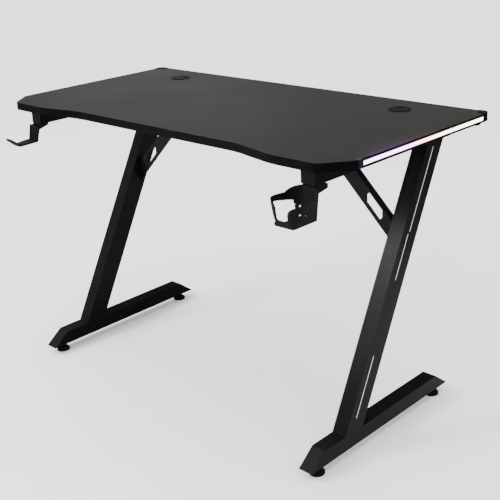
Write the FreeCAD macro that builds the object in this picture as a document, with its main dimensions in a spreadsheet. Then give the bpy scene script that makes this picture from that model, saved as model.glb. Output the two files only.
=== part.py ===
"""Gaming desk with leaning Z-shaped legs, lit side edges, a cup holder and a headphone hook.

Millimetres. X runs along the desk's width, Y from its front to its back, Z up from the floor.
The origin is on the floor under the middle of the whole object.
"""
import FreeCAD, Part
import Sketcher
import math
import os

doc = FreeCAD.newDocument("gaming_desk")
sheet = doc.addObject("Spreadsheet::Sheet", "Sizes")

SIZES = {
    # Desktop: a board with a black edge band and a shallow recess along its front
    "desk_width": 1200, "desk_depth": 590, "desk_height": 760, "board_thickness": 20,
    "band_thickness": 1, "recess_depth": 27, "recess_margin": 127, "recess_slope": 125,
    "recess_radius": 220, "corner_cut_width": 55, "corner_cut_depth": 68, "corner_radius": 28,
    "side_corner_radius": 10, "back_radius": 19,
    # Light strips let into the two side edges
    "led_height": 13.6, "led_drop": 3.2, "led_groove_depth": 12, "led_front": 72, "led_back": 31,
    "channel_wall": 1, "tape_width": 8, "tape_thickness": 1.2, "diffuser_thickness": 2,
    "cap_length": 4, "block_length": 17, "corner_cap_rise": 1.5,
    # Cable grommets near the back edge
    "grommet_side": 197, "grommet_inset": 96, "grommet_hole": 52, "sleeve_wall": 2,
    "sleeve_flange": 3, "flange_thickness": 1.5, "sleeve_length": 19, "ledge_width": 2,
    "ledge_drop": 3.5, "ledge_height": 2, "cap_notch_width": 14, "cap_notch_depth": 11,
    "right_cap_angle": 33, "left_cap_angle": 0,
    # Leg frames: rail under the board, leaning upright and foot, all of square tube
    "leg_inset": 82, "tube_width": 40, "tube_wall": 1.5, "rail_height": 40, "rail_front": 32,
    "rail_back": 45, "upright_depth": 58, "upright_front": 116, "upright_top_inset": 143.4,
    "foot_front": 8, "foot_back": 45, "foot_height": 38, "foot_lift": 23, "foot_bevel": 50,
    "end_plate_thickness": 2, "plug_length": 10, "plug_face": 2,
    # Cross beam between the rails, with a bolted plate at each end
    "beam_width": 40, "beam_height": 40, "beam_plate_thickness": 3,
    "beam_plate_width": 84,
    # Knee braces: bent sheet angles with a six-sided slot
    "sheet_thickness": 2, "brace_width": 40, "brace_flange": 20, "brace_rise": 191, "brace_setback": 9,
    "slot_start": 37, "slot_length": 45, "slot_low_edge": 12, "slot_high_edge": 5,
    "slot_chamfer": 7, "tab_length": 44,
    # Levelling feet
    "pad_inset": 41, "pad_radius": 19, "pad_top_radius": 11, "pad_skirt": 6, "pad_height": 13,
    "stud_radius": 4, "stud_base": 5.5, "stud_length": 36, "stud_disc_radius": 6,
    "stud_disc_height": 4, "collar_radius": 7.5, "collar_height": 4, "nut_radius": 8,
    "nut_height": 6.5,
    # Cup holder under the front end of the right rail
    "cup_reach": 66, "cup_rim_radius": 51.5, "cup_foot_width": 56, "cup_foot_front": 36.5,
    "cup_foot_back": 42, "cup_foot_radius": 6, "cup_wall": 3, "cup_depth": 73, "cup_floor_drop": 67,
    "cup_floor_lip": 12, "cup_rim_drop": 14, "cup_rim_dip": 18, "cup_rim_rise": 8, "cup_rim_high": 2.5,
    "cup_flange_length": 35, "cup_flange_thickness": 13.5, "cup_relief": 3.5, "cup_relief_run": 12,
    "cup_haunch": 21, "cup_seat": 5,
    "handle_slot_bottom": 58.5, "handle_slot_width": 33, "handle_slot_round": 7,
    "handle_shoulder_low": 42, "handle_shoulder_high": 24, "handle_mouth_width": 67,
    "pillar_waist": 30, "pillar_waist_reach": 15, "pillar_head": 20, "pillar_head_reach": 20,
    "pillar_top": 16, "window_front": 22, "window_front_top": 26.5, "window_back_top": 37,
    "window_back": 35, "window_step": 46, "window_reach": 44, "ledge_keep": 12,
    "notch_foot": 18, "notch_head": 33, "notch_top": 27,
    "drain_reach": 8, "drain_top": 62, "cup_hole_radius": 2.6, "cup_hole_high": 20,
    "cup_hole_low": 42, "cup_hole_side": 48.5, "hole_angle": 56, "side_hole_angle": 80.5,
    # Headphone hook under the front end of the left rail
    "hook_reach": 66, "hook_width": 42, "hook_low_width": 36, "hook_tip_width": 22,
    "hook_thickness": 5, "hook_drop": 47.5, "hook_stem": 19.5, "hook_lean": 8, "hook_step": 4,
    "hook_arm_fall": 3, "hook_flange_length": 30, "hook_gusset": 9, "hook_tip_run": 28, "hook_tip_rise": 21,
    "rib_width": 3, "rib_height": 1.4, "rib_pitch": 12,
    # Light controller under the board
    "case_length": 74, "case_width": 44, "case_height": 17, "case_wall": 2, "case_offset": 153,
    "case_back": 92, "base_ear": 10, "base_thickness": 2, "board_rise": 7, "pcb_thickness": 1.6,
    "button_radius": 4.7, "button_flange": 2, "button_proud": 1.5, "button_travel": 1.2,
    "switch_side": 6, "socket_width": 12, "socket_height": 7, "socket_length": 13,
    "socket_bore": 3.1, "lead_radius": 1.6, "lead_bend": 16, "lead_rise_bend": 3.5,
    "lead_back": 26,
    "clip_length": 8, "clip_wall": 2.4,
    # Fasteners and fits
    "bolt_radius": 3, "bolt_head_radius": 5, "bolt_head_height": 3.5, "bolt_grip": 8,
    "screw_radius": 2, "screw_head_radius": 4, "screw_head_height": 2.5, "screw_depth": 12,
    "driver_hole_radius": 6, "hole_clearance": 0.2, "fit_clearance": 0.3, "overrun": 5,
}
for row, (alias, number) in enumerate(SIZES.items(), start=1):
    sheet.set(f"A{row}", alias)
    sheet.set(f"B{row}", str(number))
    sheet.setAlias(f"B{row}", alias)
doc.recompute()


class Size:
    """A number from the sheet together with the expression that gives it."""

    def __init__(self, number, text):
        self.number = number
        self.text = text

    def combine(self, other, sign, number):
        return Size(number, f"({self.text} {sign} {as_size(other).text})")

    def __add__(self, other):
        return self.combine(other, "+", self.number + as_size(other).number)

    def __sub__(self, other):
        return self.combine(other, "-", self.number - as_size(other).number)

    def __mul__(self, other):
        return self.combine(other, "*", self.number * as_size(other).number)

    def __truediv__(self, other):
        return self.combine(other, "/", self.number / as_size(other).number)

    def __neg__(self):
        return Size(-self.number, f"(0 - {self.text})")

    def __radd__(self, other):
        return as_size(other) + self

    def __rsub__(self, other):
        return as_size(other) - self

    def __rmul__(self, other):
        return as_size(other) * self


def as_size(value):
    return value if isinstance(value, Size) else Size(value, f"({value})")


def hypotenuse(one, two):
    return Size(math.hypot(one.number, two.number), f"sqrt({one.text} ^ 2 + {two.text} ^ 2)")


def larger(one, two):
    return Size(max(one.number, two.number), f"max({one.text}; {two.text})")


class SheetSizes:
    """The sheet's values by name."""


s = SheetSizes()
for alias in SIZES:
    setattr(s, alias, Size(float(sheet.get(alias)), f"Sizes.{alias}"))
ZERO = as_size(0)

# Places that many pieces share
front = (larger(s.cup_reach, s.hook_reach) - s.desk_depth) / 2
back = front + s.desk_depth
half_width = s.desk_width / 2
underside = s.desk_height - s.board_thickness
rail_bottom = underside - s.rail_height
leg_axis = half_width - s.leg_inset - s.tube_width / 2
leg_inner = half_width - s.leg_inset - s.tube_width
foot_top = s.foot_lift + s.foot_height
# The uprights lean from a place on the feet to a place under the back of the rails
upright_y = front + s.upright_front
upright_rise = rail_bottom - foot_top
upright_shift = back - s.upright_top_inset - upright_y
upright_slant = hypotenuse(upright_rise, upright_shift) / upright_rise
slant_depth = s.upright_depth * upright_slant
SIDES = {"right": 1, "left": -1}
nodes = []


def node(thing, label):
    """Names a finished sub-part and puts it on the list that is written out."""
    thing.Label = label
    nodes.append(thing)
    return thing


def bind(thing, **formulas):
    for name, formula in formulas.items():
        thing.setExpression(name, as_size(formula).text)
    return thing


def place(thing, x=ZERO, y=ZERO, z=ZERO):
    for axis, where in zip("xyz", (x, y, z)):
        thing.setExpression(f".Placement.Base.{axis}", as_size(where).text)
    return thing


def turn(thing, axis, angle):
    thing.Placement.Rotation = FreeCAD.Rotation(FreeCAD.Vector(*axis), angle)
    return thing


def box(name, corner, spans):
    block = doc.addObject("Part::Box", name)
    bind(block, Length=spans[0], Width=spans[1], Height=spans[2])
    return place(block, *corner)


ALONG = {"+x": ((0, 1, 0), 90), "-x": ((0, 1, 0), -90), "+y": ((1, 0, 0), -90),
         "-y": ((1, 0, 0), 90), "+z": ((0, 0, 1), 0), "-z": ((1, 0, 0), 180)}


def rod(name, start, radius, length, along="+z"):
    cylinder = doc.addObject("Part::Cylinder", name)
    bind(cylinder, Radius=radius, Height=length)
    turn(cylinder, *ALONG[along])
    return place(cylinder, *start)


def cone(name, start, low_radius, high_radius, height):
    taper = doc.addObject("Part::Cone", name)
    bind(taper, Radius1=low_radius, Radius2=high_radius, Height=height)
    return place(taper, *start)


def fuse(name, pieces):
    joined = doc.addObject("Part::MultiFuse", name)
    joined.Shapes = pieces
    return joined


def cut(name, base, tools):
    """Takes one or more tools away from a base piece."""
    taken = doc.addObject("Part::Compound", name + "_tools")
    taken.Links = tools
    result = doc.addObject("Part::Cut", name)
    result.Base = base
    result.Tool = taken
    return result


def group(label, pieces):
    """Identical small pieces kept together as separate solids of one node."""
    together = doc.addObject("Part::Compound", label)
    together.Links = pieces
    return node(together, label)


def sketch_on(body, plane, name, loops):
    """Draws closed outlines on an origin plane, each corner held by two bound distances."""
    sketch = body.newObject("Sketcher::SketchObject", name)
    support = [item for item in body.Origin.OriginFeatures if item.Role == plane][0]
    sketch.AttachmentSupport = [(support, "")]
    sketch.MapMode = "FlatFace"
    for loop in loops:
        spots = [FreeCAD.Vector(across.number, up.number, 0) for across, up in loop]
        first = len(sketch.Geometry)
        for here, there in zip(spots, spots[1:] + spots[:1]):
            sketch.addGeometry(Part.LineSegment(here, there), False)
        last = first + len(loop) - 1
        for index, (across, up) in enumerate(loop, start=first):
            following = first if index == last else index + 1
            sketch.addConstraint(Sketcher.Constraint("Coincident", index, 2, following, 1))
            for kind, where in (("DistanceX", across), ("DistanceY", up)):
                number = sketch.addConstraint(Sketcher.Constraint(kind, -1, 1, index, 1, where.number))
                sketch.setExpression(f"Constraints[{number}]", where.text)
    return sketch


def pad(body, plane, name, loops, length, symmetric=True, reverse=False):
    feature = body.newObject("PartDesign::Pad", name)
    feature.Profile = sketch_on(body, plane, name + "_outline", loops)
    bind(feature, Length=length)
    feature.SideType = "Symmetric" if symmetric else "One side"
    feature.Reversed = reverse
    return feature


def pocket(body, plane, name, loops, length):
    feature = body.newObject("PartDesign::Pocket", name)
    feature.Profile = sketch_on(body, plane, name + "_outline", loops)
    bind(feature, Length=length)
    feature.SideType = "Symmetric"
    return feature


def rectangle(low_across, low_up, high_across, high_up):
    corners = ((low_across, low_up), (high_across, low_up), (high_across, high_up), (low_across, high_up))
    return [(as_size(across), as_size(up)) for across, up in corners]


def bolt(name, head_face, along, radius, head_radius, head_height, length):
    """A round-headed bolt: its head stands on the named spot and its shank runs along."""
    backwards = {"+": "-", "-": "+"}[along[0]] + along[1]
    head = rod(name + "_head", head_face, head_radius, head_height, backwards)
    shank = rod(name + "_shank", head_face, radius, length, along)
    return fuse(name, [head, shank])


# Desktop board and its edge band
def rounded_wire(corners):
    """A closed wire through corners given as x, y and rounding radius."""
    spots = [(FreeCAD.Vector(x.number, y.number, 0), radius.number) for x, y, radius in corners]
    arcs = []
    for index, (corner, radius) in enumerate(spots):
        before = (spots[index - 1][0] - corner).normalize()
        after = (spots[(index + 1) % len(spots)][0] - corner).normalize()
        half_angle = before.getAngle(after) / 2
        reach = radius / math.tan(half_angle)
        bisector = (before + after).normalize()
        middle = corner + bisector * (radius / math.sin(half_angle) - radius)
        arcs.append((corner + before * reach, middle, corner + after * reach))
    edges = []
    for index, (start, middle, end) in enumerate(arcs):
        edges.append(Part.Arc(start, middle, end).toShape())
        edges.append(Part.LineSegment(end, arcs[(index + 1) % len(arcs)][0]).toShape())
    return Part.Wire(edges)


recess = front + s.recess_depth
recess_mouth = half_width - s.corner_cut_width - s.recess_margin
right_half = [(half_width, back, s.back_radius),
              (half_width, front + s.corner_cut_depth, s.side_corner_radius),
              (half_width - s.corner_cut_width, front, s.corner_radius),
              (recess_mouth, front, s.recess_radius),
              (recess_mouth - s.recess_slope, recess, s.recess_radius)]
left_half = [(-x, y, radius) for x, y, radius in reversed(right_half)]
outer_face = Part.Face(rounded_wire(right_half + left_half))
inner_face = outer_face.makeOffset2D(-s.band_thickness.number)
lift = FreeCAD.Vector(0, 0, underside.number)
rise = FreeCAD.Vector(0, 0, s.board_thickness.number)
core = inner_face.extrude(rise).translated(lift)
board_blank = doc.addObject("Part::Feature", "board_blank")
board_blank.Shape = core
band_blank = doc.addObject("Part::Feature", "band_blank")
band_blank.Shape = outer_face.extrude(rise).translated(lift).cut(core)

board_tools = []
band_tools = []


def sided_box(name, side, inner, outer, low, spans):
    """A box given by its distances from the middle plane, on either side of it."""
    x = inner if side > 0 else -outer
    return box(name, (x, low[0], low[1]), (outer - inner, spans[0], spans[1]))


def screw_down(name, head_face, along, length, radius=s.screw_radius, head_radius=s.screw_head_radius,
               head_height=s.screw_head_height):
    """A screw and the hole that it needs in what it holds."""
    fastener = bolt(name, head_face, along, radius, head_radius, head_height, length)
    hole = rod(name + "_hole", head_face, radius + s.hole_clearance, length + s.hole_clearance, along)
    return fastener, hole


# Corner caps: a moulded cap on each back corner of the board, behind the light strip's end, follows
# the rounded corner and stands a little above the top
corner_caps = []
for name, side in SIDES.items():
    seat = rod(f"corner_seat_{name}", (side * half_width, back, underside - s.overrun), s.led_back,
               s.board_thickness + 2 * s.overrun)
    board_tools.append(seat)
    band_tools.append(seat)
    cap_blank = doc.addObject("Part::Feature", f"corner_blank_{name}")
    cap_rise = FreeCAD.Vector(0, 0, (s.board_thickness + s.corner_cap_rise).number)
    cap_blank.Shape = outer_face.extrude(cap_rise).translated(lift)
    corner_cap = doc.addObject("Part::Common", f"corner_cap_{name}")
    corner_cap.Base = cap_blank
    corner_cap.Tool = seat
    corner_caps.append(corner_cap)
group("corner_caps", corner_caps)

# Light strips: channel, tape, back cap and diffuser in a groove of each side edge, behind an end
# block that fills the edge from the board's underside to its top
led_length = s.desk_depth - s.led_front - s.led_back
led_low = s.desk_height - s.led_drop - s.led_height
led_bottom = half_width - s.led_groove_depth
led_start = front + s.led_front
strip_start = led_start + s.block_length
strip_length = led_length - s.block_length
lit_length = strip_length - s.cap_length
inside_height = s.led_height - 2 * s.channel_wall
lead_axis = half_width - s.led_groove_depth / 2
lead_rise = back - s.lead_back - 2 * s.lead_bend
end_blocks = []
end_caps = []
for name, side in SIDES.items():
    groove = sided_box(f"groove_{name}", side, led_bottom, half_width + s.overrun,
                       (strip_start, led_low), (strip_length, s.led_height))
    block_seat = sided_box(f"block_seat_{name}", side, led_bottom, half_width + s.overrun,
                           (led_start, underside - s.overrun),
                           (s.block_length, s.board_thickness + 2 * s.overrun))
    band_groove = sided_box(f"band_groove_{name}", side, led_bottom, half_width + s.overrun,
                            (strip_start, led_low), (strip_length + s.overrun, s.led_height))
    board_tools += [groove, block_seat]
    band_tools += [band_groove, block_seat]
    lead_hole = rod(f"lead_hole_{name}", (side * lead_axis, lead_rise, underside),
                    s.lead_radius + s.fit_clearance, s.board_thickness - s.led_drop - s.led_height / 2)
    board_tools.append(lead_hole)
    outside = sided_box(f"channel_outside_{name}", side, led_bottom, half_width,
                        (strip_start, led_low), (strip_length, s.led_height))
    hollow = sided_box(f"channel_hollow_{name}", side, led_bottom + s.channel_wall, half_width + s.overrun,
                       (strip_start - s.overrun, led_low + s.channel_wall),
                       (strip_length + 2 * s.overrun, inside_height))
    node(cut(f"channel_{name}", outside, [hollow, lead_hole]), f"led_channel_{name}")
    tape = sided_box(f"tape_{name}", side, led_bottom + s.channel_wall,
                     led_bottom + s.channel_wall + s.tape_thickness,
                     (strip_start, led_low + (s.led_height - s.tape_width) / 2), (lit_length, s.tape_width))
    node(tape, f"led_tape_{name}")
    diffuser = sided_box(f"diffuser_{name}", side, half_width - s.diffuser_thickness, half_width,
                         (strip_start, led_low + s.channel_wall), (lit_length, inside_height))
    node(diffuser, f"led_diffuser_{name}")
    end_blocks.append(sided_box(f"led_block_{name}", side, led_bottom, half_width,
                                (led_start, underside), (s.block_length, s.board_thickness)))
    end_caps.append(sided_box(f"led_cap_{name}", side, led_bottom + s.channel_wall, half_width,
                              (strip_start + lit_length, led_low + s.channel_wall),
                              (s.cap_length, inside_height)))
group("led_end_blocks", end_blocks)
group("led_end_caps", end_caps)

# Cable grommets: a flanged sleeve in the board and a cap that turns in it
sleeve_radius = s.grommet_hole / 2 - s.fit_clearance
bore_radius = sleeve_radius - s.sleeve_wall
grommet_x = half_width - s.grommet_side
grommet_y = back - s.grommet_inset
ledge_top = s.desk_height + s.flange_thickness - s.ledge_drop
ledge_low = ledge_top - s.ledge_height
sleeve_low = s.desk_height - s.sleeve_length
cap_angles = {"right": s.right_cap_angle, "left": s.left_cap_angle}
for name, side in SIDES.items():
    x = side * grommet_x
    board_tools.append(rod(f"grommet_hole_{name}", (x, grommet_y, underside - s.overrun), s.grommet_hole / 2,
                           s.board_thickness + 2 * s.overrun))
    flange = rod(f"sleeve_flange_{name}", (x, grommet_y, s.desk_height),
                 s.grommet_hole / 2 + s.sleeve_flange, s.flange_thickness)
    barrel = rod(f"sleeve_barrel_{name}", (x, grommet_y, sleeve_low), sleeve_radius, s.sleeve_length)
    upper = rod(f"sleeve_upper_{name}", (x, grommet_y, ledge_top), bore_radius, s.ledge_drop + s.overrun)
    lower = rod(f"sleeve_lower_{name}", (x, grommet_y, sleeve_low - s.overrun), bore_radius,
                ledge_low - sleeve_low + s.overrun)
    throat = rod(f"sleeve_throat_{name}", (x, grommet_y, sleeve_low - s.overrun), bore_radius - s.ledge_width,
                 s.sleeve_length + s.flange_thickness + 2 * s.overrun)
    node(cut(f"sleeve_{name}", fuse(f"sleeve_blank_{name}", [flange, barrel]), [upper, lower, throat]),
         f"grommet_sleeve_{name}")
    cap_radius = bore_radius - s.fit_clearance
    disc = rod(f"cap_disc_{name}", (x, grommet_y, ledge_top + s.fit_clearance), cap_radius,
               s.ledge_drop - s.fit_clearance)
    notch = doc.addObject("PartDesign::Body", f"cap_notch_{name}")
    pad(notch, "XY_Plane", f"cap_notch_shape_{name}",
        [rectangle(-s.cap_notch_width / 2, cap_radius - s.cap_notch_depth,
                   s.cap_notch_width / 2, cap_radius + s.overrun)], s.ledge_drop + s.overrun, False)
    place(notch, x, grommet_y, ledge_top)
    notch.Placement.Rotation = FreeCAD.Rotation(FreeCAD.Vector(0, 0, 1), cap_angles[name].number)
    node(cut(f"cap_{name}", disc, [notch]), f"grommet_cap_{name}")

# Rails: square tube under the board, screwed up into it from inside
RAIL_SCREW_SHARES = (0.14, 0.45, 0.77)
FLANGE_SCREW_SHARES = (-0.27, 0.27)
rail_start = front + s.rail_front
rail_end = back - s.rail_back
rail_length = rail_end - rail_start
half_tube = s.tube_width / 2
inner_half = half_tube - s.tube_wall
rail_screws = []
rail_tools = {name: [] for name in SIDES}
plugs = []
for name, side in SIDES.items():
    x = side * leg_axis
    for number, share in enumerate(RAIL_SCREW_SHARES):
        y = rail_start + rail_length * share
        fastener, hole = screw_down(f"rail_screw_{name}_{number}", (x, y, underside - s.tube_wall), "+z",
                                    s.tube_wall + s.screw_depth)
        access = rod(f"driver_hole_{name}_{number}", (x, y, rail_bottom - s.overrun), s.driver_hole_radius,
                     s.tube_wall + 2 * s.overrun)
        rail_screws.append(fastener)
        board_tools.append(hole)
        rail_tools[name] += [hole, access]
    for end, y, outward in (("front", rail_start, -1), ("back", rail_end, 1)):
        shell = doc.addObject("PartDesign::Body", f"plug_{end}_{name}")
        pad(shell, "XZ_Plane", f"plug_face_{end}_{name}",
            [rectangle(-half_tube, ZERO, half_tube, s.rail_height)], s.plug_face, False, outward > 0)
        seat = s.tube_wall + s.fit_clearance
        pad(shell, "XZ_Plane", f"plug_seat_{end}_{name}",
            [rectangle(-half_tube + seat, seat, half_tube - seat, s.rail_height - seat)],
            s.plug_length, False, outward < 0)
        plugs.append(place(shell, x, y, rail_bottom))
group("rail_end_plugs", plugs)
group("rail_screws", rail_screws)

# Cross beam: tube between the rails, its end plates bolted to their inner walls. It stands behind
# the knee braces, whose feet are bolted near the middle of the uprights' depth.
BEAM_SCREW_SHARES = (-0.15, 0, 0.15)
PLATE_BOLT_SHARES = (-0.34, 0.34)
brace_top = underside - s.beam_height
brace_high = brace_top - s.brace_rise
brace_foot_share = (brace_high - s.tab_length / 2 - foot_top) / upright_rise
bolt_y = upright_y + slant_depth / 2 + upright_shift * brace_foot_share + s.brace_setback
brace_y = bolt_y - (s.sheet_thickness + s.brace_flange) / 2
beam_y = brace_y + s.sheet_thickness + s.beam_width / 2
beam_bottom = underside - s.beam_height
beam_length = 2 * (leg_inner - s.beam_plate_thickness)
beam_blank = doc.addObject("PartDesign::Body", "beam_blank")
half_beam = s.beam_width / 2
pad(beam_blank, "YZ_Plane", "beam_section",
    [rectangle(-half_beam, ZERO, half_beam, s.beam_height),
     rectangle(-half_beam + s.tube_wall, s.tube_wall, half_beam - s.tube_wall, s.beam_height - s.tube_wall)],
    beam_length)
place(beam_blank, ZERO, beam_y, beam_bottom)
beam_tools = []
beam_screws = []
for number, share in enumerate(BEAM_SCREW_SHARES):
    x = beam_length * share
    fastener, hole = screw_down(f"beam_screw_{number}", (x, beam_y, underside - s.tube_wall), "+z",
                                s.tube_wall + s.screw_depth)
    beam_screws.append(fastener)
    board_tools.append(hole)
    beam_tools += [hole, rod(f"beam_driver_hole_{number}", (x, beam_y, beam_bottom - s.overrun),
                             s.driver_hole_radius, s.tube_wall + 2 * s.overrun)]
group("beam_screws", beam_screws)


def bolt_through(name, head_face, along, thickness):
    """A frame bolt and its hole through a plate and one tube wall."""
    return screw_down(name, head_face, along, thickness + s.tube_wall + s.bolt_grip, s.bolt_radius,
                      s.bolt_head_radius, s.bolt_head_height)


plates = []
beam_bolts = []
for name, side in SIDES.items():
    inner_face_x = leg_inner - s.beam_plate_thickness
    blank = sided_box(f"beam_plate_blank_{name}", side, inner_face_x, leg_inner,
                      (beam_y - s.beam_plate_width / 2, beam_bottom), (s.beam_plate_width, s.beam_height))
    holes = []
    for number, share in enumerate(PLATE_BOLT_SHARES):
        spot = (side * inner_face_x, beam_y + s.beam_plate_width * share, beam_bottom + s.beam_height / 2)
        fastener, hole = bolt_through(f"beam_bolt_{name}_{number}", spot, "+x" if side > 0 else "-x",
                                      s.beam_plate_thickness)
        beam_bolts.append(fastener)
        holes.append(hole)
    plates.append(cut(f"beam_plate_{name}", blank, holes))
    rail_tools[name] += holes
group("beam_end_plates", plates)
group("beam_bolts", beam_bolts)

# Knee braces: a slotted sheet angle from each upright to the beam, with a bolted tab at each end
DIAGONAL_SHARE = math.sqrt(2)
CHAMFER_SHARE = 2
TAB_BOLT_SHARES = (0.27, 0.73)
slant_width = s.brace_width * DIAGONAL_SHARE
slant_sheet = s.sheet_thickness * DIAGONAL_SHARE
low_line = brace_high - slant_width + s.slot_low_edge * DIAGONAL_SHARE
high_line = brace_high - s.slot_high_edge * DIAGONAL_SHARE
brace_bolts = []
upright_tools = {name: [] for name in SIDES}
for name, side in SIDES.items():
    def sided(points):
        return [(side * x, as_size(z)) for x, z in points]

    slot_near = leg_inner - s.slot_start
    slot_far = slot_near - s.slot_length
    near_reach = s.slot_start
    far_reach = s.slot_start + s.slot_length
    plate = sided([(leg_inner, brace_high - slant_width), (leg_inner, brace_high),
                   (leg_inner - s.brace_rise, brace_top),
                   (leg_inner - s.brace_rise - slant_width, brace_top)])
    slot = sided([(slot_near, low_line + near_reach + CHAMFER_SHARE * s.slot_chamfer),
                  (slot_near, high_line + near_reach),
                  (slot_far + s.slot_chamfer, high_line + far_reach - s.slot_chamfer),
                  (slot_far, high_line + far_reach - CHAMFER_SHARE * s.slot_chamfer),
                  (slot_far, low_line + far_reach),
                  (slot_near - s.slot_chamfer, low_line + near_reach + s.slot_chamfer)])
    flange = sided([(leg_inner, brace_high), (leg_inner - s.brace_rise, brace_top),
                    (leg_inner - s.brace_rise - slant_sheet, brace_top),
                    (leg_inner, brace_high - slant_sheet)])
    low_tab = sided(rectangle(leg_inner - s.sheet_thickness, brace_high - s.tab_length,
                              leg_inner, brace_high))
    high_tab = sided(rectangle(leg_inner - s.brace_rise - s.tab_length, brace_top - s.sheet_thickness,
                               leg_inner - s.brace_rise, brace_top))
    brace = doc.addObject("PartDesign::Body", f"brace_blank_{name}")
    folds = (("plate", [plate, slot], s.sheet_thickness), ("flange", [flange], s.brace_flange),
             ("low_tab", [low_tab], s.brace_flange), ("high_tab", [high_tab], s.brace_flange))
    for part, loops, depth in folds:
        pad(brace, "XZ_Plane", f"brace_{part}_{name}", loops, depth, False, True)
    place(brace, ZERO, brace_y, ZERO)
    holes = []
    for number, share in enumerate(TAB_BOLT_SHARES):
        low_spot = (side * (leg_inner - s.sheet_thickness), bolt_y, brace_high - s.tab_length * share)
        fastener, hole = bolt_through(f"brace_low_bolt_{name}_{number}", low_spot, "+x" if side > 0 else "-x",
                                      s.sheet_thickness)
        brace_bolts.append(fastener)
        holes.append(hole)
        upright_tools[name].append(hole)
        high_spot = (side * (leg_inner - s.brace_rise - s.tab_length * share), bolt_y,
                     brace_top - s.sheet_thickness)
        fastener, hole = bolt_through(f"brace_high_bolt_{name}_{number}", high_spot, "+z", s.sheet_thickness)
        brace_bolts.append(fastener)
        holes.append(hole)
        beam_tools.append(hole)
    node(cut(f"brace_{name}", brace, holes), f"knee_brace_{name}")
node(cut("beam", beam_blank, beam_tools), "cross_beam")
group("brace_bolts", brace_bolts)

# Uprights: tube cut to lean back, welded between foot and rail
slant_wall = s.tube_wall * upright_slant
for name, side in SIDES.items():
    blank = doc.addObject("PartDesign::Body", f"upright_blank_{name}")

    def leaning(low_y, high_y):
        return [(low_y, foot_top), (high_y, foot_top), (high_y + upright_shift, rail_bottom),
                (low_y + upright_shift, rail_bottom)]

    pad(blank, "YZ_Plane", f"upright_outside_{name}",
        [leaning(upright_y, upright_y + slant_depth)], s.tube_width)
    pocket(blank, "YZ_Plane", f"upright_hollow_{name}",
           [leaning(upright_y + slant_wall, upright_y + slant_depth - slant_wall)], 2 * inner_half)
    place(blank, side * leg_axis)
    node(cut(f"upright_tube_{name}", blank, upright_tools[name]), f"upright_{name}")

# Feet: tube with bevelled ends closed by welded plates, on four levelling feet
foot_start = front - s.foot_front
foot_end = back - s.foot_back
bevel_slope = s.foot_bevel / s.foot_height
hole_radius = s.stud_radius + s.fit_clearance
foot_floor = s.foot_lift + s.tube_wall
foot_ceiling = foot_top - s.tube_wall
low_inset = s.tube_wall * bevel_slope
high_inset = (s.foot_height - s.tube_wall) * bevel_slope
collar_low = s.pad_height + s.fit_clearance
end_plates = []
nuts = []
for name, side in SIDES.items():
    x = side * leg_axis
    blank = doc.addObject("PartDesign::Body", f"foot_blank_{name}")
    pad(blank, "YZ_Plane", f"foot_outside_{name}",
        [[(foot_start, s.foot_lift), (foot_end, s.foot_lift), (foot_end - s.foot_bevel, foot_top),
          (foot_start + s.foot_bevel, foot_top)]], s.tube_width)
    pocket(blank, "YZ_Plane", f"foot_hollow_{name}",
           [rectangle(foot_start - s.overrun, foot_floor, foot_end + s.overrun, foot_ceiling)],
           2 * inner_half)
    place(blank, x)
    foot_tools = []
    ends = (("front", foot_start, 1), ("back", foot_end, -1))
    for end, tip, inward in ends:
        plate = doc.addObject("PartDesign::Body", f"end_plate_{end}_{name}")
        thickness = inward * s.end_plate_thickness
        low_y = tip + inward * low_inset
        high_y = tip + inward * high_inset
        pad(plate, "YZ_Plane", f"end_plate_shape_{end}_{name}",
            [[(low_y, foot_floor), (low_y + thickness, foot_floor), (high_y + thickness, foot_ceiling),
              (high_y, foot_ceiling)]], 2 * inner_half)
        end_plates.append(place(plate, x))
        y = tip + inward * s.pad_inset
        foot_tools.append(rod(f"stud_hole_{end}_{name}", (x, y, s.foot_lift - s.overrun), hole_radius,
                              s.tube_wall + 2 * s.overrun))
        nut = rod(f"nut_blank_{end}_{name}", (x, y, foot_floor), s.nut_radius, s.nut_height)
        thread = rod(f"nut_bore_{end}_{name}", (x, y, foot_floor - s.overrun), hole_radius,
                     s.nut_height + 2 * s.overrun)
        nuts.append(cut(f"nut_{end}_{name}", nut, [thread]))
        stem = rod(f"stud_stem_{end}_{name}", (x, y, s.stud_base), s.stud_radius, s.stud_length)
        disc = rod(f"stud_disc_{end}_{name}", (x, y, s.stud_base), s.stud_disc_radius, s.stud_disc_height)
        collar = doc.addObject("Part::Prism", f"stud_collar_{end}_{name}")
        collar.Polygon = 6
        bind(collar, Circumradius=s.collar_radius, Height=s.collar_height)
        place(collar, x, y, collar_low)
        node(fuse(f"stud_{end}_{name}", [stem, disc, collar]), f"leveller_stud_{end}_{name}")
        skirt = rod(f"pad_skirt_{end}_{name}", (x, y, ZERO), s.pad_radius, s.pad_skirt)
        crown = cone(f"pad_crown_{end}_{name}", (x, y, s.pad_skirt), s.pad_radius, s.pad_top_radius,
                     s.pad_height - s.pad_skirt)
        pocket_room = rod(f"pad_room_{end}_{name}", (x, y, s.stud_base - s.fit_clearance),
                          s.stud_disc_radius + s.fit_clearance, s.stud_disc_height + 2 * s.fit_clearance)
        neck = rod(f"pad_neck_{end}_{name}", (x, y, s.stud_base), hole_radius, s.pad_height)
        node(cut(f"pad_{end}_{name}", fuse(f"pad_blank_{end}_{name}", [skirt, crown]), [pocket_room, neck]),
             f"leveller_pad_{end}_{name}")
    node(cut(f"foot_tube_{name}", blank, foot_tools), f"foot_{name}")
group("foot_end_plates", end_plates)
group("leveller_nuts", nuts)

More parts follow.
